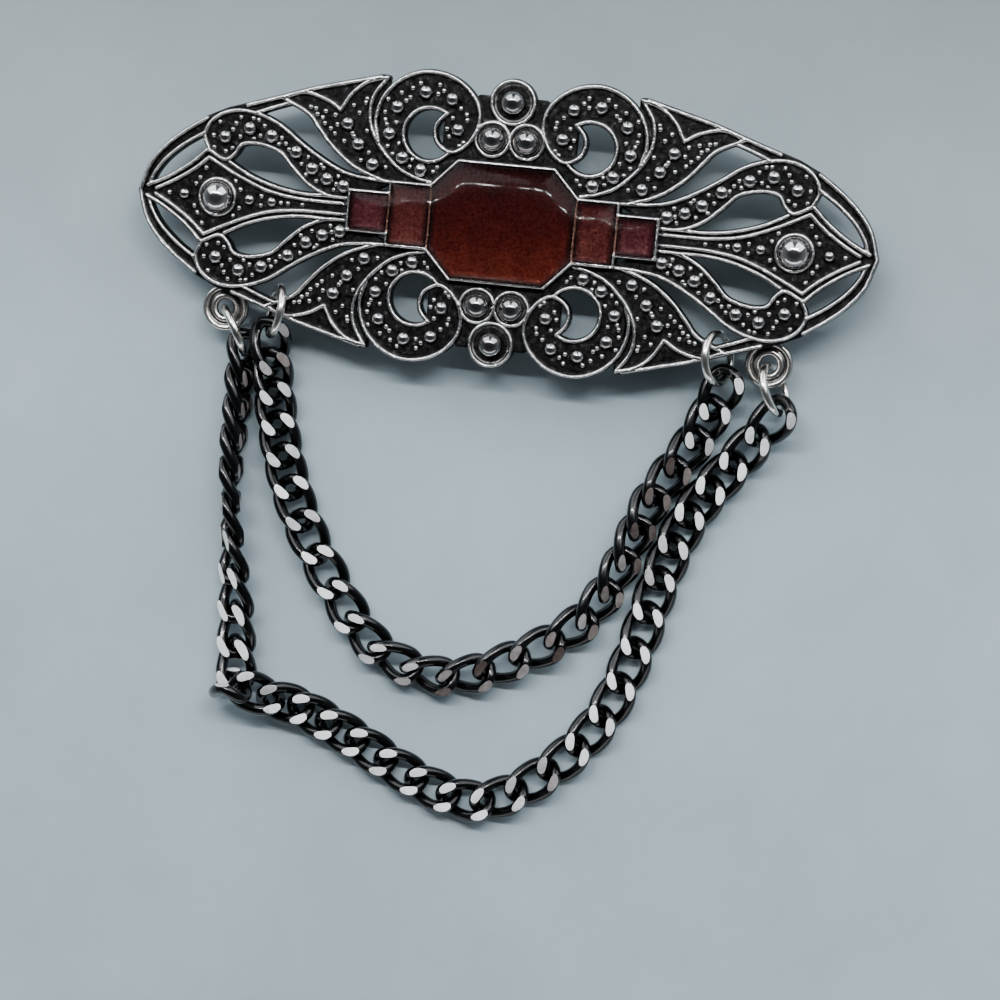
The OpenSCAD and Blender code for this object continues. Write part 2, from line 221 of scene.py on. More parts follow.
scroll = [
    [14.2, 7.5], [14.75, 9.8], [14.1, 12.4], [12.2, 14.5], [9.5, 15.5], [6.6, 15.05], [4.3, 13.3],
    [3.45, 11], [4.2, 8.6], [6, 7.15], [7.7, 7.9], [8.2, 9.2], [7.9, 10.3], [7, 11.25],
]
middle_sheet = [[0, 6], [5.2, 6], [5.5, 7.4], [3.6, 10], [3.6, 13.3], [2, 13.3], [0, 14]]
field = [[0, 6.35], [5.2, 6.35], [8, 3.4], [12.4, 3.4], [12.4, 2.15], [16.8, 2.15], [16.8, 0]]
cell_x = [7.9, 12.4]
# Round openings and collars: x, y and radius, and for a collar the polish inside it
eye = (8.7, 8.85, 2.9)
collars = [[0, 13, 2.3, 0.8], [1.87, 8.95, 1.82, 0.8], [31.5, 0, 1.95, 1]]
# Beads: x and y, and for those on the long axis x and diameter
beads = [
    [17.6, 2.45], [19.5, 3.05], [21.25, 4], [23.15, 5.6], [26, 7.1], [28.5, 7.7], [31.15, 6.55],
    [14.65, 5.1], [16.4, 7.1], [17.75, 9.2],
    [9.35, 4.95], [11.45, 6.1], [13.1, 8.55], [12.5, 11.45], [9.55, 13.3], [6.6, 12.8], [5.7, 9.6],
]
axis_beads = [[25.4, 1.15], [27.9, 1.25], [35.2, 1.25]]


def smooth_line(table, steps):
    """A smooth line through the rows of a table, with this many steps between two rows."""
    p = np.array(table, float)
    p = np.vstack([2 * p[0] - p[1], p, 2 * p[-1] - p[-2]])
    t = (np.arange(steps) / steps)[:, None]
    line = []
    for a, b, c, d in zip(p, p[1:], p[2:], p[3:]):
        bend = 2 * a - 5 * b + 4 * c - d + t * (3 * (b - c) + d - a)
        line.append(b + 0.5 * t * (c - a + t * bend))
    return np.vstack(line + [p[-2:-1]])


def arc(x, y, r, start, end, steps):
    a = np.radians(np.linspace(start, end, steps + 1))
    return np.stack([x + r * np.cos(a), y + r * np.sin(a)], 1)


def line_distance(x, y, line):
    best = np.full(x.shape, np.inf)
    for (ax, ay), (bx, by) in zip(line, line[1:]):
        dx, dy = bx - ax, by - ay
        length_squared = max(dx * dx + dy * dy, 1e-12)
        t = np.clip(((x - ax) * dx + (y - ay) * dy) / length_squared, 0, 1)
        best = np.minimum(best, (x - ax - t * dx) ** 2 + (y - ay - t * dy) ** 2)
    return np.sqrt(best)


def outline_distance(x, y, outline):
    """Distance to a closed outline, negative inside it."""
    ring = np.vstack([outline, outline[:1]])
    inside = np.zeros(x.shape, bool)
    for (ax, ay), (bx, by) in zip(ring, ring[1:]):
        if ay != by:
            inside ^= ((ay > y) != (by > y)) & (x < (bx - ax) * (y - ay) / (by - ay) + ax)
    return np.where(inside, -1, 1) * line_distance(x, y, ring)


def soft_step(value, low, high):
    """Zero below the low value, one above the high one and a smooth rise between them."""
    t = np.clip((value - low) / (high - low), 0, 1)
    return t * t * (3 - 2 * t)


# The sheet of one quarter, as the distance to its edge
relief_step = 0.11
quarter_l = 40.7
quarter_h = 16.28
quarter_x = np.arange(round(quarter_l / relief_step) + 1) * relief_step
quarter_y = np.arange(round(quarter_h / relief_step) + 1) * relief_step
gx, gy = np.meshgrid(quarter_x, quarter_y, indexing="ij")
leaf_edge = np.vstack([smooth_line(leaf_top, 6), smooth_line(lobe_out, 6)])
scroll_line = smooth_line(scroll, 6)
sheet_outlines = [
    [smooth_line(arm_top, 6), smooth_line(arm_low, 6)[::-1]],
    [[[16.8, 0]], smooth_line(end_out, 4), [[32.75, 4.6]], smooth_line(tip_out, 4), [[39.8, 0]]],
    [smooth_line(rim_long, 4), smooth_line(rim_long_in, 4)[::-1], leaf_edge],
    [rim_start, smooth_line(rim_end, 6), [[39.3, 0]], smooth_line(rim_end_in, 4)[::-1], rim_close],
    [smooth_line(leaf_low, 4), leaf_edge, smooth_line(lobe_in, 6)],
    [[[0, 0]], field],
    [middle_sheet],
]
sheet = np.full(gx.shape, np.inf)
for parts in sheet_outlines:
    sheet = np.minimum(sheet, outline_distance(gx, gy, np.vstack(parts).astype(float)))
# The scroll's sheet is open at its eye, as far as the curl at the end of the scroll
curl_low, curl_high = [6.2, 7], [8.4, 11.4]
curl = scroll_line[np.all((scroll_line > curl_low) & (scroll_line < curl_high), axis=1)]
spiral = np.vstack([scroll_line, [[7, 8], [5.2, 6], [8.2, 3.4]], smooth_line(lobe_in, 6)[::-1]])
opening = np.vstack([arc(*eye, 125, -140, 40), curl[::-1]])
scroll_sheet = np.maximum(outline_distance(gx, gy, spiral), -outline_distance(gx, gy, opening))
sheet = np.minimum(sheet, scroll_sheet)
for x, y, r, shine in collars:
    sheet = np.minimum(sheet, np.hypot(gx - x, gy - y) - r)
sheet = sheet - ridge_w / 2 - edge_w

# Round ridges along the lines, bright on top and dark at their feet
ridge_tables = (
    arm_top, arm_low, end_in, end_out, tip_in, tip_out, rim_long, rim_long_in, rim_end, rim_end_in,
    leaf_low, leaf_top, lobe_out, lobe_in, scroll,
)
ridge_lines = [smooth_line(table, 6) for table in ridge_tables] + [arc(*eye, 125, -145, 40)]
ridge_lines += [arc(x, y, r, 0, 360, 48) for x, y, r, shine in collars]
ridge = np.full(gx.shape, np.inf)
for line in ridge_lines:
    ridge = np.minimum(ridge, line_distance(gx, gy, line))
ridge_foot = 0.03
ridge_half = ridge_w / 2 + ridge_foot
relief = ridge_h * np.sqrt(np.clip(1 - (ridge / ridge_half) ** 2, 0, 1))
dark_below, bright_above = 0.42 * ridge_h, 0.9 * ridge_h
polish = soft_step(relief, dark_below, bright_above)

# A dark groove round each bead, and a bowl with a bright edge inside each collar
groove_r = 0.85
groove_w = 0.2
groove_deep = 0.14
groove_dark = 0.3
flat_sheet = 0.05
bowl_deep = 0.12
bowl_edge = 0.75
bright_edge = 0.55
full_bright = 0.2
for x, y in beads:
    off_groove = np.hypot(gx - x, gy - y) - groove_r
    groove = np.exp(-((off_groove / groove_w) ** 2)) * (relief < flat_sheet)
    relief = relief - groove_deep * groove
    polish = polish - groove_dark * groove
for x, y, r, shine in collars:
    away = np.hypot(gx - x, gy - y) - r
    bowl = 0.5 * np.clip(away + bowl_edge, 0, 1) ** 2 - bowl_deep
    relief_in = np.where(away > -ridge_half, np.maximum(relief, bowl), bowl)
    relief = np.where(away < 0, relief_in, relief)
    polish_in = np.maximum(polish, shine * soft_step(away, -bright_edge, -full_bright))
    polish = np.where((away < 0) & (away > -bright_edge), polish_in, polish)

# The wall round the enamel, and the low walls between its cells with a painted copper-red
# reflection of the enamel on them. The outline of the field goes on past the axes, so that they
# aren't taken for walls.
field_outline = np.array([[-1, -1], [-1, field[0][1]], *field[1:], [field[-1][0], -1]], float)
in_depth = outline_distance(gx, gy, field_outline)
from_wall = np.abs(in_depth)
in_field = in_depth < 0
wall_foot = 0.02
wall_half = wall_w / 2 + wall_foot
rim = wall_h * np.sqrt(np.clip(1 - (from_wall / wall_half) ** 4, 0, 1))
painted_enamel_glow = np.zeros(gx.shape)
for x in cell_x:
    low_wall = cell_h * np.sqrt(np.clip(1 - (np.abs(gx - x) / wall_half) ** 4, 0, 1))
    rim = np.where(in_field, np.maximum(rim, low_wall), rim)
    painted_enamel_glow = np.maximum(painted_enamel_glow, soft_step(low_wall, 0.2, 0.5))
relief = np.where(in_field, rim, np.maximum(relief, rim))
polish_out = np.maximum(polish, soft_step(rim, 0.5, 0.85))
polish = np.where(in_field, soft_step(rim, 0.3, 0.6), polish_out)
# The painted reflection of the enamel on the low walls rides on the polish mark, above one
polish = polish + np.where(in_field & (from_wall > wall_w / 2), painted_enamel_glow, 0)

# Rounded outer edges
inset = np.clip(-sheet, 0, edge_r)
relief = relief - (edge_r - np.sqrt(np.clip(edge_r**2 - (edge_r - inset) ** 2, 0, None)))


def four_quarters(quarter):
    """A quarter of the plate repeated in all its corners."""
    right = np.hstack([quarter[:, :0:-1], quarter])
    return np.vstack([right[:0:-1], right])


def fill_between(corners, lines):
    """Triangles that fill closed lines seen from above, with the holes between them left open."""
    inside_lines = 1
    found = geometry.delaunay_2d_cdt(corners, lines, [], inside_lines, 1e-7)
    owner = [o[0] if o else -1 for o in found[3]]
    triangles = [tuple(owner[v] for v in t) for t in found[2]]
    directed = set(lines)
    # A triangle on the right side of a line is kept, and so are all that it reaches over no line
    beside, kept, queue = {}, {}, []
    for n, t in enumerate(triangles):
        for a, b in zip(t, t[1:] + t[:1]):
            beside[(a, b)] = n
            if (a, b) in directed:
                kept[n] = True
                queue.append(n)
            elif (b, a) in directed:
                kept.setdefault(n, False)
    while queue:
        t = triangles[queue.pop()]
        for a, b in zip(t, t[1:] + t[:1]):
            if (a, b) in directed or (b, a) in directed:
                continue
            m = beside.get((b, a))
            if m is not None and not kept.get(m):
                kept[m] = True
                queue.append(m)
    return [triangles[n] for n, keep in kept.items() if keep]


def cast_body(xs, ys, cut, high, mark, low, drop=0):
    """Body over a grid where cut is negative, with its top at high and a flat back at low.

    Its edge stands where cut is zero and lies lower than the top by drop. Gives the points, with
    the mark of each as a fourth number, and the faces.
    """
    # An edge point stays a little off both grid points, so that no face comes out without width
    least, most = 0.001, 0.97
    inside = cut < 0
    number = np.full(cut.shape, -1)
    number[inside] = np.arange(inside.sum())
    points = [(xs[a], ys[b], high[a, b], mark[a, b]) for a, b in zip(*np.nonzero(inside))]
    corners_in = [inside[:-1, :-1], inside[1:, :-1], inside[1:, 1:], inside[:-1, 1:]]
    whole = np.logical_and.reduce(corners_in)
    i, j = np.nonzero(whole)
    corner_numbers = (number[i, j], number[i + 1, j], number[i + 1, j + 1], number[i, j + 1])
    faces = np.stack(corner_numbers, 1).tolist()
    # Grid cells that the edge crosses keep the part inside it
    crossings, border = {}, []
    for a, b in zip(*np.nonzero(np.logical_or.reduce(corners_in) & ~whole)):
        corners = [(a, b), (a + 1, b), (a + 1, b + 1), (a, b + 1)]
        loop, leaves = [], []
        for p, q in zip(corners, corners[1:] + corners[:1]):
            if inside[p]:
                loop.append(int(number[p]))
            if inside[p] == inside[q]:
                continue
            pair = (p, q) if p < q else (q, p)
            if pair not in crossings:
                u, v = (p, q) if inside[p] else (q, p)
                t = min(max(cut[u] / (cut[u] - cut[v]), least), most)
                x = xs[u[0]] + t * (xs[v[0]] - xs[u[0]])
                y = ys[u[1]] + t * (ys[v[1]] - ys[u[1]])
                z = high[u] + t * (min(high[v], high[u]) - high[u]) - drop
                crossings[pair] = len(points)
                points.append((x, y, z, mark[u]))
            if inside[p]:
                leaves.append(len(loop))
            loop.append(crossings[pair])
        faces.append(loop)
        border += [(loop[at], loop[(at + 1) % len(loop)]) for at in leaves]
    # Side walls down to the flat back
    edge_points = sorted({v for pair in border for v in pair})
    base = len(points)
    order = {v: n for n, v in enumerate(edge_points)}
    points += [(points[v][0], points[v][1], low, 0) for v in edge_points]
    faces += [[b, a, base + order[a], base + order[b]] for a, b in border]
    foot_lines = [(order[a], order[b]) for a, b in border]
    back = fill_between([Vector(points[v][:2]) for v in edge_points], foot_lines)
    faces += [[base + v for v in reversed(t)] for t in back]
    return np.array(points), faces


def seat_on_plate(points):
    """Plate points in millimetres, from its middle and the top of its sheet, to metres in the frame."""
    return (points + [0, plate_y, top_z]) * MM


def set_mark(piece, name, values):
    """A number kept at each point of a piece, for its material."""
    layer = piece.data.attributes.new(name, "FLOAT", "POINT")
    layer.data.foreach_set("value", values.astype(np.float32))


def finished_piece(name, points, faces, material, node, mark="", sharp=65):
    """A smooth piece from plate points, with their fourth number kept under the name of the mark."""
    made = new_piece(name, seat_on_plate(points[:, :3]), faces, [material])
    if mark:
        set_mark(made, mark, points[:, 3])
    made.data.polygons.foreach_set("use_smooth", [True] * len(faces))
    made.data.set_sharp_from_angle(angle=math.radians(sharp))
    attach(made, "root")
    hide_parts(node)


def mark_of(tree, name):
    """The number that a piece keeps at each point under this name."""
    mark = tree.nodes.new("ShaderNodeAttribute")
    mark.attribute_name = name
    return mark.outputs["Fac"]


def add_math(tree, operation, *values):
    """The result of a sum on outputs or plain numbers."""
    result = tree.nodes.new("ShaderNodeMath")
    result.operation = operation
    set_inputs(tree, result, dict(enumerate(values)))
    return result.outputs[0]


def add_range(tree, source, low, high):
    """Zero where a source has the low value and one where it has the high value."""
    share = tree.nodes.new("ShaderNodeMapRange")
    set_inputs(tree, share, {"Value": source, "From Min": low, "From Max": high})
    return share.outputs["Result"]


def add_bump(tree, source, strength, distance):
    bump = tree.nodes.new("ShaderNodeBump")
    set_inputs(tree, bump, {"Height": source, "Strength": strength, "Distance": distance})
    return bump.outputs["Normal"]


antique_silver, tree, shader = new_material("antique_silver")
polish_mark = mark_of(tree, "polish")
wear = add_math(tree, "MULTIPLY", add_noise(tree, 1500, 5, 0.75), 0.85)
worn_polish = add_math(tree, "MULTIPLY_ADD", polish_mark, 0.55, wear)
silver_tones = [
    (0.3, (0.002, 0.002, 0.002)), (0.5, (0.017, 0.017, 0.018)),
    (0.75, (0.19, 0.187, 0.19)), (0.98, (0.64, 0.63, 0.64)),
]
silver = add_ramp(tree, worn_polish, silver_tones)
# The low walls between the cells have a mark above one and get a painted red reflection of the enamel
painted_glow_share = add_range(tree, polish_mark, 1.1, 1.7)
painted_glow_tone = (0.62, 0.4, 0.3, 1)
set_inputs(tree, shader, {
    "Base Color": mix_colors(tree, "MIX", painted_glow_share, silver, painted_glow_tone),
    "Metallic": 1,
    "Roughness": add_ramp(tree, polish_mark, [(0, [0.42] * 3), (1, [0.16] * 3)]),
    "Normal": add_bump(tree, add_noise(tree, 3000, 5, 0.7), 0.7, 0.0001),
})

# The plate is made in two halves, and the grid column past the middle is left out of each
whole_sheet, whole_relief, whole_polish = map(four_quarters, (sheet, relief, polish))
whole_x = np.concatenate([-quarter_x[:0:-1], quarter_x])
whole_y = np.concatenate([-quarter_y[:0:-1], quarter_y])
middle = len(quarter_x) - 1
far_outside = 1e3
halves = [("plate_left", slice(0, middle + 2), -1), ("plate_right", slice(middle - 1, None), 0)]
for name, half, left_out in halves:
    cut = whole_sheet[half].copy()
    cut[left_out] = far_outside
    points, faces = cast_body(
        whole_x[half], whole_y, cut, whole_relief[half], whole_polish[half], -sheet_t, edge_drop
    )
    finished_piece(name, points, faces, antique_silver, "filigree_plate", "polish")

# Beads, domes and grains
# They belong to the same casting: round beads in rows along the scrolls, six domes in round
# collars, one in each pointed end, and small grains between the beads. High points are polished.
bead_d = 1.56
dome_d = 2.65
end_dome_d = 3.5
grain_d = 0.6
# Grains: x and y, and for those on the long axis only x
grains = [
    [24.9, 7], [24.4, 6.4], [24, 5.8], [26.9, 8.1], [27.6, 8.7], [29.6, 8.8], [30.1, 8.1],
    [31.9, 8.1], [32.5, 6.6], [32.3, 5.3], [31, 5], [30.3, 5.4], [29.5, 6.7], [27.3, 7],
    [20, 4.2], [22.5, 4.4], [21.8, 5.2], [20.7, 2.7], [18.3, 3.45], [18.7, 1.95], [16, 5.4],
    [18, 7.3], [16.6, 10.45], [17.3, 11.2], [20.3, 10.3], [20.6, 9.6], [21.4, 10.5], [20.3, 9],
    [19.6, 8.5], [13.2, 7.2], [12.6, 6.4], [13.2, 4.9], [12.5, 9.8], [13.7, 10], [13.8, 10.8],
    [12.2, 13], [10.6, 5.2], [7.6, 5.4], [8, 4.9], [29, 1], [33, 3], [26.6, 0.5], [11, 13.6],
    [11.2, 12.6], [8.1, 14.2], [8.2, 13.2], [4.9, 11.3], [4.8, 10.7], [5, 8.3], [6.9, 9.6],
    [6.4, 10.8], [15.6, 8.6], [15.9, 12], [19.2, 10], [16, 11.6], [13.5, 9.5], [10.2, 14.2],
    [33.6, 1.9], [29.6, 1.9], [34, 1.2], [25.2, 6.3], [28, 6.6], [28.2, 8.8], [30.4, 7.4],
    [21.9, 3.3], [20.3, 4.5], [22.6, 5.6], [18.5, 2.6], [19.1, 8], [18.9, 9], [21.2, 9.9], [22, 10.6],
    [15.2, 6.3], [17.2, 8.2], [17, 7.9], [12, 7.6], [10.4, 6], [8.6, 5.9], [13.6, 12.2], [11.6, 12.2],
    [7.6, 13.6], [5.6, 11.9], [5.4, 7.9], [6.6, 8.8],
]
axis_grains = [23.6, 22, 36.9, 24.4]


def ball(radius, columns, rows):
    """Upper part of a ball, a little past its widest ring: vertices and faces."""
    lowest = 112
    points, faces = [(0, 0, radius)], []
    for r in range(1, rows + 1):
        down = math.radians(lowest) * r / rows
        ring_r = radius * math.sin(down)
        for c in range(columns):
            b = 2 * math.pi * c / columns
            points.append((ring_r * math.cos(b), ring_r * math.sin(b), radius * math.cos(down)))
    for c in range(columns):
        d = (c + 1) % columns
        faces.append([0, 1 + c, 1 + d])
        for r in range(rows - 1):
            low, high = 1 + (r + 1) * columns, 1 + r * columns
            faces.append([high + c, low + c, low + d, high + d])
    faces.append([1 + (rows - 1) * columns + c for c in reversed(range(columns))])
    return np.array(points), faces


dark_silver, tree, shader = new_material("dark_silver")
dome_tones = [(0, (0.04, 0.04, 0.042)), (0.6, (0.2, 0.198, 0.2)), (1, (0.5, 0.495, 0.5))]
set_inputs(tree, shader, {
    "Base Color": add_ramp(tree, mark_of(tree, "polish"), dome_tones),
    "Metallic": 1,
    "Roughness": 0.13,
    "Normal": add_bump(tree, add_noise(tree, 900, 2), 0.12, 0.0001),
})

# Each ball: height of its middle over the sheet, radius, columns, rows and polish
bead = (0.1, bead_d / 2, 16, 9, 0.85)
grain = (0.02, grain_d / 2, 10, 5, 1)
dome = (0.2, dome_d / 2, 32, 16, 0.7)
end_dome = (0.2, end_dome_d / 2, 32, 16, 1)
top_collar, pair_collar, end_collar = collars
seats = []
for sx in (-1, 1):
    for sy in (-1, 1):
        seats += [(sx * x, sy * y, *bead) for x, y in beads]
        seats += [(sx * x, sy * y, *grain) for x, y in grains]
    seats += [(sx * x, 0, bead[0], d / 2, *bead[2:]) for x, d in axis_beads]
    seats += [(sx * x, 0, *grain) for x in axis_grains]
    seats += [(sx * end_collar[0], 0, *end_dome)]
    seats += [(0, sx * top_collar[1], *dome)]
    seats += [(sy * pair_collar[0], sx * pair_collar[1], *dome) for sy in (-1, 1)]
# Beads and grains are a little out of round, and all balls are dark at their feet
out_of_round = 0.03
ball_rng = np.random.default_rng(7)
all_points, all_faces, count = [], [], 0
for x, y, z, r, columns, rows, shine in seats:
    points, faces = ball(r, columns, rows)
    ball_polish = shine * soft_step(points[:, 2] / r, -0.1, 0.35)
    points = points * (1 + ball_rng.uniform(-out_of_round, out_of_round, 3) * (r < 1))
    all_points.append(np.column_stack([points + [x, y, z], ball_polish]))
    all_faces += [[v + count for v in f] for f in faces]
    count += len(points)
finished_piece(
    "beads_and_grains", np.vstack(all_points), all_faces, dark_silver,
    "filigree_plate", "polish", sharp=80,
)

# Enamel
# Five slabs of enamel poured between the walls. The middle one is a deep red with fine orange
# glitter, the cells beside it are orange red and the outer ones wine red. All carry painted shade at
# the walls and painted light that grows towards their lower wall.
painted_light_reach = 5.5


def enamel(name, deep, mid, glint, painted_low_light):
    """An enamel from its deep colour to its glitter, with painted shade at the walls and painted light.

    The painted light brings out more glitter towards the lower wall.
    """
    material, tree, shader = new_material(name)
    upper_y, lower_y = (plate_y + painted_light_reach) * MM, (plate_y - painted_light_reach) * MM
    # Painted light: the enamel is drawn lighter, with more glitter, towards its lower wall and darker
    # at the top
    painted_light_downwards = add_range(tree, place_along(tree, "Y"), upper_y, lower_y)
    flakes = add_noise(tree, 5200, 2, 0.8)
    lit_flakes = add_math(tree, "MULTIPLY_ADD", painted_light_downwards, painted_low_light, flakes)
    cloudy = add_math(tree, "MULTIPLY_ADD", add_noise(tree, 450, 3, 0.6), 0.22, lit_flakes)
    fill = add_ramp(tree, cloudy, [(0.55, deep), (0.8, mid), (1, glint)])
    # Painted shade at the walls: a quarter of the deep colour where the mark is low
    painted_wall_shade = (*(0.25 * part for part in deep), 1)
    set_inputs(tree, shader, {
        "Base Color": mix_colors(tree, "MIX", mark_of(tree, "from_wall"), painted_wall_shade, fill),
        "Metallic": 0.25,
        "Roughness": 0.42,
        "Specular IOR Level": 0.08,
    })
    return material


red_enamel = enamel(
    "red_enamel", (0.011, 0.0012, 0.002), (0.031, 0.0024, 0.0024), (0.125, 0.024, 0.01), 0.27
)
orange_enamel = enamel(
    "orange_enamel", (0.022, 0.003, 0.005), (0.066, 0.016, 0.015), (0.25, 0.11, 0.08), 0.22
)
wine_enamel = enamel(
    "wine_enamel", (0.022, 0.003, 0.008), (0.072, 0.02, 0.027), (0.28, 0.14, 0.13), 0.2
)
enamel_gap = 0.05
enamel_dip = 0.12
fill_step = 0.12
columns_out = round(17.04 / fill_step)
rows_up = round(6.48 / fill_step)
fill_x = np.arange(-columns_out, columns_out + 1) * fill_step
fill_y = np.arange(-rows_up, rows_up + 1) * fill_step
ex, ey = np.meshgrid(fill_x, fill_y, indexing="ij")
slab_margin = wall_w / 2 + enamel_gap
in_walls = outline_distance(np.abs(ex), np.abs(ey), field_outline) + slab_margin
# Cells: node, left and right wall, material and slot
past_end = 20
cells = [
    ("enamel_centre", -cell_x[0], cell_x[0], red_enamel, "red_enamel"),
    ("enamel_left_inner", -cell_x[1], -cell_x[0], orange_enamel, "wine_enamel"),
    ("enamel_left_outer", -past_end, -cell_x[1], wine_enamel, "wine_enamel"),
    ("enamel_right_inner", cell_x[0], cell_x[1], orange_enamel, "wine_enamel"),
    ("enamel_right_outer", cell_x[1], past_end, wine_enamel, "wine_enamel"),
]
for node_name, left, right, material, slot in cells:
    cut = np.maximum(in_walls, np.maximum(left + slab_margin - ex, ex - right + slab_margin))
    # The depth of each slab also sets its painted shade at the walls, through the from_wall mark
    slab_depth = soft_step(-cut, -0.05, 0.75)
    level = cell_h - enamel_gap - enamel_dip * slab_depth
    points, faces = cast_body(fill_x, fill_y, cut, level, slab_depth, enamel_gap)
    finished_piece(node_name + "_fill", points, faces, material, node_name, "from_wall")

# Resin dome
# Clear resin poured over the whole field. It stops at the wall and stands up in a smooth crown,
# high over the wide middle and low over the narrow ends, as a liquid does before it sets.
resin_rise = 1.45
crown_power = 0.9
pool_turns = 2800
# The crown is a liquid's skin held at the walls, and its form is found by evening it out in turns
wet = in_walls < 0
pool = np.zeros(ex.shape)
for turn in range(pool_turns):
    around = np.zeros(ex.shape)
    around[1:-1, 1:-1] = pool[2:, 1:-1] + pool[:-2, 1:-1] + pool[1:-1, 2:] + pool[1:-1, :-2]
    pool = np.where(wet, (pool + around / 4 + fill_step**2) / 2, 0)
crown = resin_rise * (pool / pool.max()) ** crown_power

clear_resin, tree, shader = new_material("clear_resin")
glitter = add_ramp(tree, add_noise(tree, 2500, 3, 0.75), [(0.4, (0.45, 0.3, 0.32)), (0.6, (1, 1, 1))])
set_inputs(tree, shader, {
    "Base Color": glitter,
    "Roughness": 0.28,
    "IOR": 1.05,
    "Transmission Weight": 1,
    "Coat Weight": 1,
    "Coat IOR": 1.16,
    "Coat Roughness": 0.035,
    "Coat Normal": add_bump(tree, add_noise(tree, 1100, 2), 0.06, 0.0001),
})
# Shadow rays, diffuse rays and rays from inside pass straight through with a faint tint
light_through = tree.nodes.new("ShaderNodeBsdfTransparent")
light_through.inputs["Color"].default_value = (0.93, 0.87, 0.87, 1)
ray = tree.nodes.new("ShaderNodeLightPath")
inner_side = tree.nodes.new("ShaderNodeNewGeometry").outputs["Backfacing"]
passing = add_math(tree, "MAXIMUM", ray.outputs["Is Shadow Ray"], ray.outputs["Is Diffuse Ray"])
resin_mix = tree.nodes.new("ShaderNodeMixShader")
set_inputs(tree, resin_mix, {
    "Fac": add_math(tree, "MAXIMUM", passing, inner_side),
    1: shader.outputs["BSDF"],
    2: light_through.outputs["BSDF"],
})
tree.links.new(resin_mix.outputs["Shader"], tree.nodes["Material Output"].inputs["Surface"])
points, faces = cast_body(fill_x, fill_y, in_walls, wall_h + crown, 0 * crown, cell_h + enamel_gap)
finished_piece("resin_crown", points, faces, clear_resin, "resin_dome", sharp=60)

# Eyelets
# Round stamped eyelets soldered behind the lower rim. Each has a rolled outer edge, a sunk ring
# and a rolled collar round its hole. A painted highlight brightens the rolls towards their top.
eyelet_z = back_z - 1
eyelet_columns = 48
# Each eyelet: node, and x and y from the plate's middle
eyelet_places = [("eyelet_left", -30, -12), ("eyelet_right", 30, -12.1)]
# Section of the rolled metal: distance from the middle of the hole, and height
eyelet_profile = [
    [0.9, 0.3], [0.93, 0.15], [1.05, 0.04], [1.3, 0], [2.2, 0], [2.45, 0.05], [2.56, 0.18],
    [2.6, 0.4], [2.58, 0.62], [2.48, 0.8], [2.3, 0.88], [2.1, 0.84], [1.97, 0.7], [1.9, 0.6],
    [1.8, 0.57], [1.68, 0.6], [1.6, 0.7], [1.48, 0.82], [1.3, 0.86], [1.12, 0.82], [0.98, 0.68],
    [0.91, 0.5],
]
eyelet_silver, tree, shader = new_material("eyelet_silver")
sunk_z, roll_z = (eyelet_z + 0.55) * MM, (eyelet_z + 0.86) * MM
# Painted highlight: the rolls grow lighter with height, broken up by an uneven tone
roll_height = add_range(tree, place_along(tree, "Z"), sunk_z, roll_z)
painted_roll_highlight = add_math(tree, "MULTIPLY_ADD", add_noise(tree, 900, 4, 0.6), 0.4, roll_height)
eyelet_tones = [(0.1, (0.06, 0.058, 0.055)), (0.55, (0.3, 0.29, 0.28)), (1, (0.62, 0.6, 0.58))]
set_inputs(tree, shader, {
    "Base Color": add_ramp(tree, painted_roll_highlight, eyelet_tones),
    "Metallic": 1,
    "Roughness": 0.24,
})
for name, x, y in eyelet_places:
    points, faces = [], []
    for c in range(eyelet_columns):
        a = 2 * math.pi * c / eyelet_columns
        for r, z in eyelet_profile:
            points.append((x + r * math.cos(a), y + plate_y + r * math.sin(a), eyelet_z + z))
    n = len(eyelet_profile)
    for c in range(eyelet_columns):
        d = (c + 1) % eyelet_columns
        faces += [[c * n + k, d * n + k, d * n + (k + 1) % n, c * n + (k + 1) % n] for k in range(n)]
    made = new_piece(name + "_rolled", np.array(points) * MM, faces, [eyelet_silver])
    made.data.polygons.foreach_set("use_smooth", [True] * len(faces))
    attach(made, "root")
    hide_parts(name)

# Jump rings
# Four plain rings of round wire, bent shut. The inner two hold the rim of the plate and the outer
# two go through the eyelets, and each holds the last link of a chain. The solids only take the silver.
ring_silver, tree, shader = new_material("ring_silver")
ring_tones = [(0.3, (0.5, 0.48, 0.45)), (0.6, (0.78, 0.76, 0.73))]
set_inputs(tree, shader, {
    "Base Color": add_ramp(tree, add_noise(tree, 700, 4, 0.6), ring_tones),
    "Metallic": 1,
    "Roughness": 0.2,
    "Normal": add_bump(tree, add_noise(tree, 3000, 2), 0.2, 0.00003),
})
for side in ("left", "right"):
    for place in ("inner", "outer"):
        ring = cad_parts["jump_ring_" + place + "_" + side]
        ring.data.materials.clear()
        ring.data.materials.append(ring_silver)

# Chains
# Two curb chains of twisted oval links in glossy black plating. Both faces of the chain were cut
# flat with a diamond tool after plating, which leaves a bright silver oval where each link turns over.
link_l = 6.9
link_w = 4.75
link_wire = 1.27
link_twist = 17
link_fullness = 0.7
link_stations = 56
link_sides = 16
link_a = (link_l - link_wire) / 2
link_b = (link_w - link_wire) / 2
# The lower and the upper flats, below and above the middle of the link
flat_h = 1.1
top_flat_h = 1.24
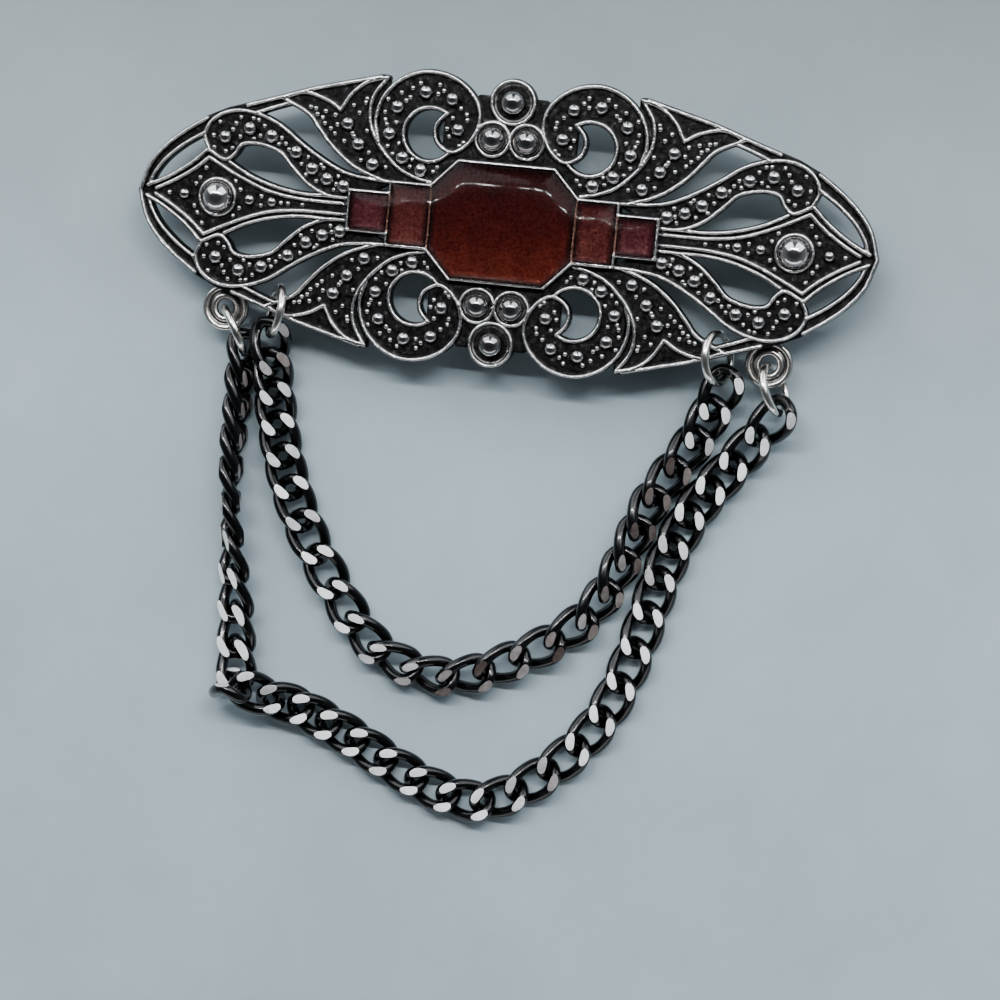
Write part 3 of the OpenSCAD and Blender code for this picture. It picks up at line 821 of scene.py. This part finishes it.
# Joints of the chains, every second one: x, y from the plate's middle, height, and the roll of the link
inner_route = [
    [-24.7, -14.1, 3.4, 30], [-23.95, -20.8, 1.95, 14], [-22.4, -27.8, 1.65, 14],
    [-19.65, -34.7, 1.9, 22], [-15.2, -41.9, 1.6, -8], [-9.75, -48.2, 1.8, -24],
    [-1.6, -50.4, 1.75, -25], [6.2, -47.2, 1.8, -15], [13.1, -42.05, 2, -37],
    [16.6, -34.9, 2.35, -45], [19, -27.8, 2.35, -32], [23.15, -20.9, 1.85, -23],
    [25.75, -14.15, 3.45, -13],
]
outer_side = [
    [-27.75, -15.8, 2.4, 76], [-27.9, -22.75, 2.5, 87], [-28, -29.6, 2.5, 97],
    [-27.25, -37.45, 2.45, 124], [-26.05, -45.8, 2.15, 156], [-25.55, -53.65, 1.35, 180],
]
outer_route = [
    [-18, -55.8, 1.3, 0], [-11.4, -58.75, 1.2, 0], [-4.2, -62.4, 1.2, 0], [3.5, -64.1, 1.25, 0],
    [10.7, -59.6, 1.2, 0], [16.05, -52.85, 1.2, 0], [18.9, -44.7, 1.2, 0], [20.7, -36.7, 1.2, 0],
    [23.2, -29.5, 1.3, 0], [27.4, -23.4, 1.5, 0], [32.1, -16.7, 3.5, -27],
]
# The three links of the tight corner, with both ends of each
outer_corner = [
    [-26.5, -54.1, 1.95, 64], [-25.25, -54.35, 4.35, 0],
    [-24.5, -54.15, 2.8, 22], [-21.35, -55.2, 1.7, 0],
    [-21.5, -55.25, 1.45, 2], [-18, -55.8, 1.3, 0],
]
# Painted glint of the flats, the light that each caught: number of the joint, and tone
inner_painted_glint = [
    [0, 0.3], [1, 0.3], [2, 0.8], [4, 0.8], [6, 0.6], [8, 0.9], [10, 0.75], [11, 0.5], [12, 0.25],
    [13, 0.15], [15, 0.2], [16, 0.4], [18, 0.2], [21, 0.15], [22, 0.6], [23, 0.95], [24, 0.95],
]
outer_painted_glint = [
    [0, 0.12], [4, 0.12], [5, 0.5], [6, 0.6], [7, 0.9], [9, 1], [10, 0.8], [12, 0.5], [13, 0.8],
    [19, 0.8], [20, 0.7], [21, 0.4], [22, 0.6], [24, 1], [26, 1], [27, 0.6], [29, 0.75], [30, 1],
    [32, 0.9], [33, 0.7],
]


def fuller(v):
    """A sine or cosine that makes an oval fuller at its corners."""
    return np.sign(v) * np.abs(v) ** link_fullness


def link_line(angle):
    """Middle line of the wire of a link, twisted along its length."""
    x = link_a * fuller(np.cos(angle))
    side = link_b * fuller(np.sin(angle))
    turn = np.radians(link_twist * x)
    return np.stack([x, side * np.cos(turn), -side * np.sin(turn)], -1)


def cut_link(stations, sides):
    """One link, cut flat on both faces.

    Gives its vertices and faces, a one for each cut face, and for each vertex of a cut face the
    end of the link at which it lies.
    """
    # Stations are spread evenly along the wire
    fine_steps, nudge = 2880, 0.01
    fine = np.linspace(0, 2 * np.pi, fine_steps + 1)
    run = np.concatenate([[0], np.cumsum(np.linalg.norm(np.diff(link_line(fine), axis=0), axis=1))])
    angles = np.interp(np.arange(stations) / stations * run[-1], run, fine)
    middle = link_line(angles)
    ahead = link_line(angles + nudge) - link_line(angles - nudge)
    ahead /= np.linalg.norm(ahead, axis=1)[:, None]
    turn = np.radians(link_twist * middle[:, 0])
    up = np.stack([0 * turn, np.sin(turn), np.cos(turn)], -1)
    up -= ahead * (up * ahead).sum(1)[:, None]
    up /= np.linalg.norm(up, axis=1)[:, None]
    side = np.cross(ahead, up)
    u = 2 * np.pi * (np.arange(sides) + 0.5) / sides
    points = middle[:, None] + link_wire / 2 * (
        np.cos(u)[None, :, None] * side[:, None] + np.sin(u)[None, :, None] * up[:, None]
    )
    body = bmesh.new()
    wire = [[body.verts.new(p) for p in row] for row in points]
    for i in range(stations):
        a, b = wire[i], wire[(i + 1) % stations]
        for k in range(sides):
            body.faces.new([a[k], a[(k + 1) % sides], b[(k + 1) % sides], b[k]])
    for way, h in ((-1, flat_h), (1, top_flat_h)):
        everything = body.verts[:] + body.edges[:] + body.faces[:]
        bmesh.ops.bisect_plane(
            body, geom=everything, plane_co=(0, 0, way * h), plane_no=(0, 0, way), clear_outer=True
        )
        rim_edges = [e for e in body.edges if e.is_boundary]
        bmesh.ops.holes_fill(body, edges=rim_edges, sides=0)
    bmesh.ops.recalc_face_normals(body, faces=body.faces[:])
    body.verts.index_update()
    vertices = np.array([v.co for v in body.verts])
    faces = [[v.index for v in f.verts] for f in body.faces]
    # Only the cut faces lie level and have more than four sides
    cuts = [int(abs(f.normal.z) > 0.999 and len(f.verts) > 4) for f in body.faces]
    ends = np.zeros(len(vertices))
    for face, cut in zip(faces, cuts):
        if cut:
            ends[face] = 1 if vertices[face, 0].mean() > 0 else -1
    body.free()
    return vertices, faces, cuts, ends


def links_along(route):
    """Both joints of each link along a smooth route, with two links from row to row."""
    joints = smooth_line(route, 2)
    return list(zip(joints, joints[1:]))


def laid_link(vertices, start, end):
    """A link laid from joint to joint and rolled about its length, in millimetres in the frame."""
    ahead = (end - start)[:3] / np.linalg.norm((end - start)[:3])
    level = np.cross([0, 0, 1], ahead)
    level /= np.linalg.norm(level)
    roll = math.radians(start[3])
    side = math.cos(roll) * level - math.sin(roll) * np.cross(ahead, level)
    turn = np.stack([ahead, side, np.cross(ahead, side)])
    return vertices @ turn + (start + end)[:3] / 2 + [0, plate_y, 0]


def chain(name, node, chain_links, glint):
    """A chain with a link between each pair of joints, and a painted glint at each link's ends."""
    vertices, faces, cuts, ends = cut_link(link_stations, link_sides)
    joint_number, joint_tone = np.array(glint).T
    tones = np.interp(np.arange(len(chain_links) + 1), joint_number, joint_tone)
    all_points, all_faces, all_cuts, all_tones, count = [], [], [], [], 0
    for n, (start, end) in enumerate(chain_links):
        start_tone, end_tone = tones[n:n + 2] + glint_rng.uniform(-glint_spread, glint_spread, 2)
        all_tones.append(np.where(ends > 0, end_tone, np.where(ends < 0, start_tone, 0)))
        all_points.append(laid_link(vertices, start, end))
        all_faces += [[v + count for v in f] for f in faces]
        all_cuts += cuts
        count += len(vertices)
    # A wire never goes into the table
    points = np.vstack(all_points)
    points[:, 2] = np.maximum(points[:, 2], wire_over_table)
    made = new_piece(name, points * MM, all_faces, [black_plating, cut_silver], all_cuts)
    set_mark(made, "glint", np.clip(np.concatenate(all_tones), least_glint, 1))
    made.data.polygons.foreach_set("use_smooth", [not c for c in all_cuts])
    made.data.set_sharp_from_angle(angle=math.radians(28))
    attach(made, "root")
    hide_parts(node)


black_plating, tree, shader = new_material("black_plating")
plating_tones = [(0.35, (0.006, 0.006, 0.007)), (0.7, (0.016, 0.016, 0.018))]
set_inputs(tree, shader, {
    "Base Color": add_ramp(tree, add_noise(tree, 260, 3), plating_tones),
    "Metallic": 0.9,
    "Roughness": 0.22,
    "Coat Weight": 0.4,
    "Coat Roughness": 0.08,
    "Normal": add_bump(tree, add_noise(tree, 2400, 3), 0.15, 0.00003),
})

cut_silver, tree, shader = new_material("cut_silver")
tool_marks = add_noise(tree, 1600, 3)
smeared = add_math(tree, "MULTIPLY_ADD", tool_marks, 0.25, mark_of(tree, "glint"))
# Painted reflection: the glint mark darkens some bright cut flats to brown-black and lights others
# white
flat_tones = [
    (0.15, (0.05, 0.036, 0.034)), (0.4, (0.18, 0.155, 0.15)),
    (0.7, (0.5, 0.51, 0.55)), (0.95, (0.95, 0.97, 1)),
]
set_inputs(tree, shader, {
    "Base Color": add_ramp(tree, smeared, flat_tones),
    "Metallic": 0.15,
    "Roughness": 0.36,
    "Normal": add_bump(tree, tool_marks, 0.15, 0.00003),
})

wire_over_table = 0.01
least_glint = 0.04
glint_spread = 0.2
glint_rng = np.random.default_rng(5)
chain("inner_chain_links", "inner_chain", links_along(inner_route), inner_painted_glint)
corner_joints = np.array(outer_corner, float)
corner_links = list(zip(corner_joints[::2], corner_joints[1::2]))
outer_links = links_along(outer_side) + corner_links + links_along(outer_route)
chain("outer_chain_links", "outer_chain", outer_links, outer_painted_glint)

# Bar pin
# Hidden behind the plate: a plain steel bar with a foot at each end and the pin wire between them.
# The bar is rolled steel with faint lines along it, and its solid only takes the steel.
pin_steel, tree, shader = new_material("pin_steel")
stretch = tree.nodes.new("ShaderNodeMapping")
set_inputs(tree, stretch, {"Vector": place_of(tree), "Scale": (30, 900, 900)})
rolled_lines = add_noise(tree, 1, 2, place=stretch.outputs["Vector"])
steel_tones = [(0.3, [0.46] * 3), (0.7, [0.62] * 3)]
set_inputs(tree, shader, {
    "Base Color": add_ramp(tree, rolled_lines, steel_tones),
    "Metallic": 1,
    "Roughness": 0.35,
    "Normal": add_bump(tree, rolled_lines, 0.2, 0.00004),
})
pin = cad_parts["pin_back"]
pin.data.materials.clear()
pin.data.materials.append(pin_steel)
